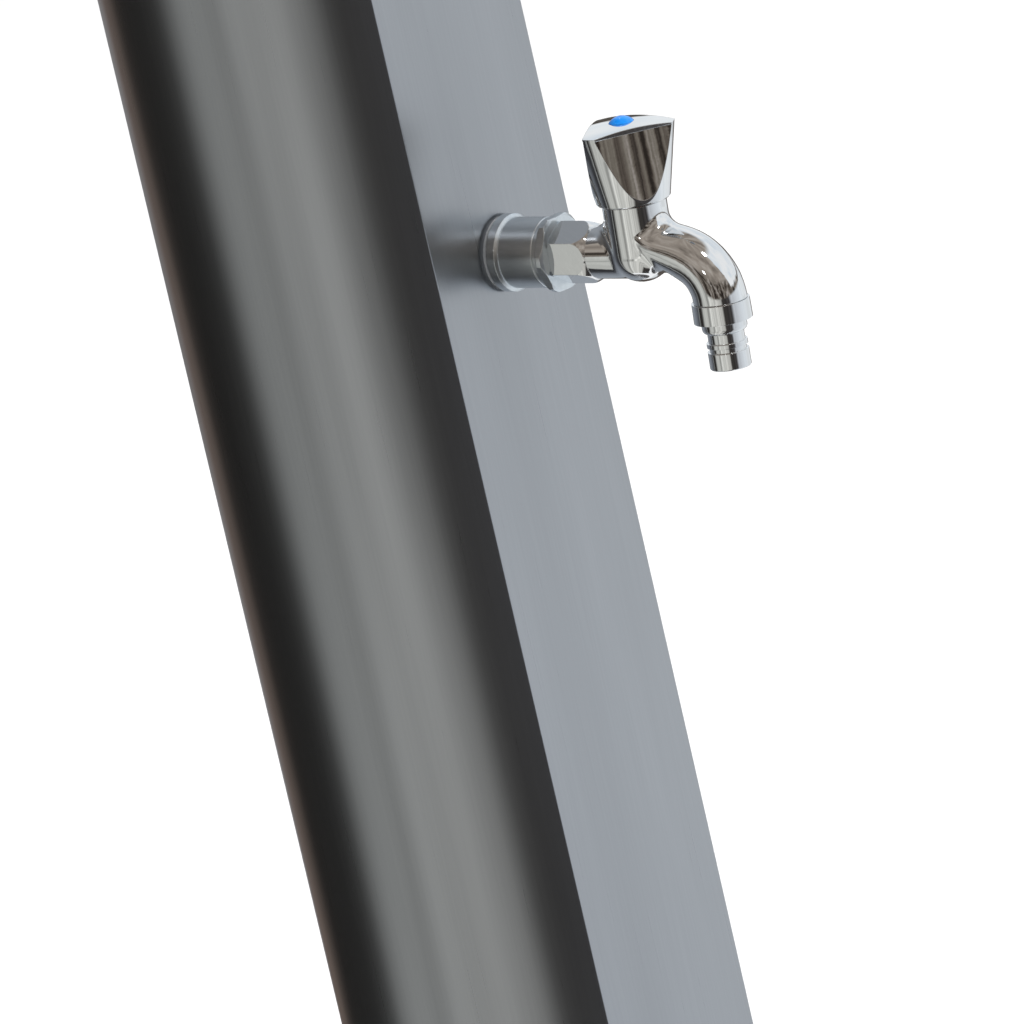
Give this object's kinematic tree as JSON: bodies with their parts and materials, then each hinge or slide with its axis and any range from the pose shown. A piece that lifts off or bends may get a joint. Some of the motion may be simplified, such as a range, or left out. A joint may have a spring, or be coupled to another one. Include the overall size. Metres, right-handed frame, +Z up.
{
  "type": "outdoor shower post",
  "caption": "Steel outdoor shower column with a curved back and a flat face that carries a chrome hose tap with a triangular handle, a stop valve and an arm with a tilting rain head.",
  "frame": {"origin": "centre of the column's round back, in the underside of the base plate", "axes": "+Z up along the column; -Y out of the flat face, towards the hose tap and the rain head; +Y to the supply inlet at the back"},
  "size_m": [0.28, 0.6535, 2.2],
  "materials": {
    "brushed_steel": "brushed along the column",
    "welded_steel": "mill finish",
    "screw_steel": "satin",
    "copper_pipe": "drawn copper",
    "fitting_brass": "turned and cast",
    "chrome": "polished",
    "black_rubber": "matt",
    "fibre_gasket": "matt",
    "white_plastic": "matt",
    "grey_silicone": "soft",
    "blue_index": "glossy"
  },
  "bodies": {
    "post": {"base_plate": "brushed_steel", "post_shell": "brushed_steel", "lid_frame": "welded_steel", "lid_gasket": "black_rubber", "lid_plate": "brushed_steel", "lid_screws": "screw_steel", "inlet_socket": "fitting_brass", "inlet_pipe": "copper_pipe", "inlet_elbow": "fitting_brass", "riser_lower": "copper_pipe", "riser_middle": "copper_pipe", "riser_upper": "copper_pipe", "tap_tee": "fitting_brass", "arm_elbow": "fitting_brass", "pipe_clips": "welded_steel", "socket_gasket": "black_rubber", "tap_socket": "chrome", "lock_ring": "chrome", "tap_body": "chrome", "outlet_nut": "chrome", "nipple_washer": "black_rubber", "hose_nipple": "chrome", "tap_bonnet_gasket": "fibre_gasket", "tap_bonnet": "fitting_brass", "valve_body": "fitting_brass", "valve_rosette": "chrome", "valve_nut": "chrome", "valve_bonnet_gasket": "fibre_gasket", "valve_bonnet": "fitting_brass", "arm_rosette": "chrome", "arm_socket": "chrome", "shower_arm": "chrome", "ball_stem": "chrome"},
    "tap_handle": {"tap_spindle": "fitting_brass", "tap_spindle_ring": "black_rubber", "tap_handle": "chrome", "tap_handle_screw": "screw_steel", "tap_index": "blue_index"},
    "tap_disc": {"tap_carrier": "fitting_brass", "tap_disc": "black_rubber", "tap_disc_screw": "screw_steel"},
    "valve_handle": {"valve_spindle": "fitting_brass", "valve_spindle_ring": "black_rubber", "valve_handle": "chrome", "valve_handle_screw": "screw_steel", "valve_index": "blue_index"},
    "valve_disc": {"valve_carrier": "fitting_brass", "valve_disc": "black_rubber", "valve_disc_screw": "screw_steel"},
    "ball_washer": {"ball_washer": "white_plastic"},
    "ball_seal": {"ball_seal": "black_rubber"},
    "rain_head": {"cap_nut": "chrome", "head_shell": "chrome", "nozzle_mat": "grey_silicone", "spray_plate": "brushed_steel", "plate_screws": "screw_steel"}
  },
  "joints": [
    {"name": "tap_handle_turn", "type": "hinge", "parent": "post", "child": "tap_handle", "pos_m": [0, -0.14646, 0.47], "axis": [0.0993, 0, 0.9951], "range_deg": [0, 900]},
    {"name": "tap_disc_lift", "type": "slide", "parent": "post", "child": "tap_disc", "axis": [0.0993, 0, 0.9951], "range_m": [0, 0.005]},
    {"name": "valve_handle_turn", "type": "hinge", "parent": "post", "child": "valve_handle", "pos_m": [0, -0.07346, 1.12], "axis": [0, -1, 0], "range_deg": [0, 900]},
    {"name": "valve_disc_lift", "type": "slide", "parent": "post", "child": "valve_disc", "axis": [0, -1, 0], "range_m": [0, 0.005]},
    {"name": "head_spin", "type": "hinge", "parent": "post", "child": "ball_washer", "pos_m": [0, -0.41346, 1.98], "axis": [0, 0, 1], "continuous": true},
    {"name": "head_tilt_fore_aft", "type": "hinge", "parent": "ball_washer", "child": "ball_seal", "pos_m": [0, -0.41346, 1.98], "axis": [1, 0, 0], "range_deg": [-15, 15]},
    {"name": "head_tilt_sideways", "type": "hinge", "parent": "ball_seal", "child": "rain_head", "pos_m": [0, -0.41346, 1.98], "axis": [0, 1, 0], "range_deg": [-15, 15]}
  ],
  "couplings": [
    {"joint": "tap_disc_lift", "follows": "tap_handle_turn", "m_per_rad": 0.0003183},
    {"joint": "valve_disc_lift", "follows": "valve_handle_turn", "m_per_rad": 0.0003183}
  ]
}
